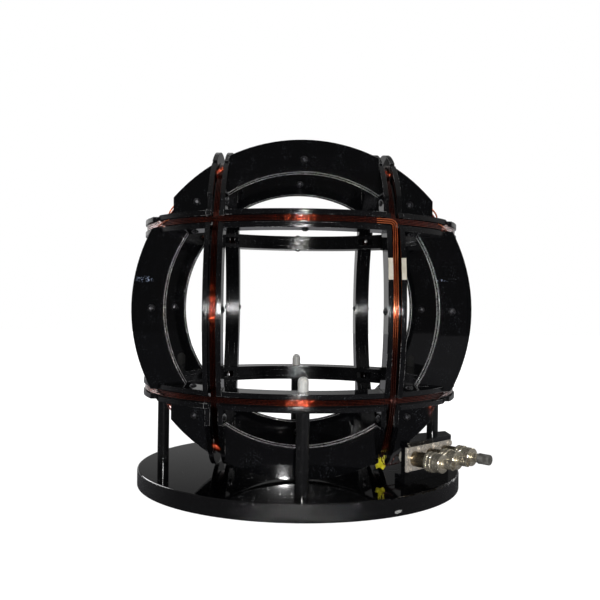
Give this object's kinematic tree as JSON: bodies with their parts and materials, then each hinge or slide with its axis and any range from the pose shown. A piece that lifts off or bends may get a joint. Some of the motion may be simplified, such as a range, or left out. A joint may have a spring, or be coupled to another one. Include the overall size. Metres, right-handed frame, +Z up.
{
  "type": "helmholtz coil",
  "caption": "Three-axis Helmholtz coil: crossed black ring formers wound with copper wire, on posts over a round base, with screw-on coaxial adapters.",
  "frame": {"origin": "middle of the base's underside, on the surface that it stands on", "axes": "+Z up through the coils' common centre; -Y is the front, with the connector panel at the front right (+X, -Y)"},
  "size_m": [0.3796, 0.362, 0.37],
  "materials": {
    "black_acrylic": "polished black acrylic",
    "enamelled_wire": "orange-red enamel on copper",
    "steel": "plain stainless",
    "nickel": "bright nickel plate",
    "nylon": "natural white nylon",
    "ptfe": "white",
    "gold_plate": "gold plate",
    "grey_rubber": "grey moulded cap",
    "yellow_tape": "yellow vinyl",
    "label_paper": "cream paper"
  },
  "bodies": {
    "frame": {"base_plate": "black_acrylic", "post_front": "black_acrylic", "post_right": "black_acrylic", "post_rear": "black_acrylic", "post_left": "black_acrylic", "connector_panel": "black_acrylic", "panel_top": "black_acrylic", "panel_foot": "black_acrylic", "x_left_flange_outer": "black_acrylic", "x_left_flange_inner": "black_acrylic", "x_left_spacers": "black_acrylic", "x_left_screws": "steel", "x_left_winding": "enamelled_wire", "x_right_flange_outer": "black_acrylic", "x_right_flange_inner": "black_acrylic", "x_right_spacers": "black_acrylic", "x_right_screws": "steel", "x_right_winding": "enamelled_wire", "y_front_flange_outer": "black_acrylic", "y_front_flange_inner": "black_acrylic", "y_front_spacers": "black_acrylic", "y_front_screws": "steel", "y_front_winding": "enamelled_wire", "y_rear_flange_outer": "black_acrylic", "y_rear_flange_inner": "black_acrylic", "y_rear_spacers": "black_acrylic", "y_rear_screws": "steel", "y_rear_winding": "enamelled_wire", "z_lower_flange_outer": "black_acrylic", "z_lower_flange_inner": "black_acrylic", "z_lower_spacers": "black_acrylic", "z_lower_screws": "steel", "z_lower_winding": "enamelled_wire", "z_upper_flange_outer": "black_acrylic", "z_upper_flange_inner": "black_acrylic", "z_upper_spacers": "black_acrylic", "z_upper_screws": "steel", "z_upper_winding": "enamelled_wire", "post_studs": "steel", "post_base_screws": "steel", "foot_screws": "steel", "receptacle_screws": "steel", "post_caps": "nylon", "receptacles": "nickel", "receptacle_insulators": "ptfe", "receptacle_contacts": "gold_plate", "lead_wires": "enamelled_wire", "tape_flag": "yellow_tape", "rim_labels": "label_paper"},
    "adapter_1": {"adapter_1": "nickel", "adapter_core_1": "ptfe"},
    "coupling_nut_1": {"coupling_nut_1": "nickel"},
    "adapter_2": {"adapter_2": "nickel", "adapter_core_2": "ptfe"},
    "coupling_nut_2": {"coupling_nut_2": "nickel"},
    "adapter_3": {"adapter_3": "nickel", "adapter_core_3": "ptfe"},
    "coupling_nut_3": {"coupling_nut_3": "nickel"},
    "dust_cap": {"dust_cap": "grey_rubber"}
  },
  "joints": [
    {"name": "adapter_1_draw", "type": "slide", "parent": "frame", "child": "adapter_1", "axis": [0.682, -0.7314, 0], "range_m": [0, 0.00529]},
    {"name": "coupling_nut_1_turn", "type": "hinge", "parent": "adapter_1", "child": "coupling_nut_1", "pos_m": [0.13258, -0.11065, 0.043], "axis": [0.682, -0.7314, 0], "range_deg": [0, 1800]},
    {"name": "adapter_2_draw", "type": "slide", "parent": "frame", "child": "adapter_2", "axis": [0.682, -0.7314, 0], "range_m": [0, 0.00529]},
    {"name": "coupling_nut_2_turn", "type": "hinge", "parent": "adapter_2", "child": "coupling_nut_2", "pos_m": [0.15159, -0.09292, 0.043], "axis": [0.682, -0.7314, 0], "range_deg": [0, 1800]},
    {"name": "adapter_3_draw", "type": "slide", "parent": "frame", "child": "adapter_3", "axis": [0.682, -0.7314, 0], "range_m": [0, 0.00529]},
    {"name": "coupling_nut_3_turn", "type": "hinge", "parent": "adapter_3", "child": "coupling_nut_3", "pos_m": [0.17061, -0.07518, 0.043], "axis": [0.682, -0.7314, 0], "range_deg": [0, 1800]},
    {"name": "dust_cap_pull", "type": "slide", "parent": "adapter_3", "child": "dust_cap", "axis": [0.682, -0.7314, 0], "range_m": [0, 0.006]}
  ],
  "couplings": [
    {"joint": "coupling_nut_1_turn", "follows": "adapter_1_draw", "rad_per_m": 5938.7},
    {"joint": "coupling_nut_2_turn", "follows": "adapter_2_draw", "rad_per_m": 5938.7},
    {"joint": "coupling_nut_3_turn", "follows": "adapter_3_draw", "rad_per_m": 5938.7}
  ]
}
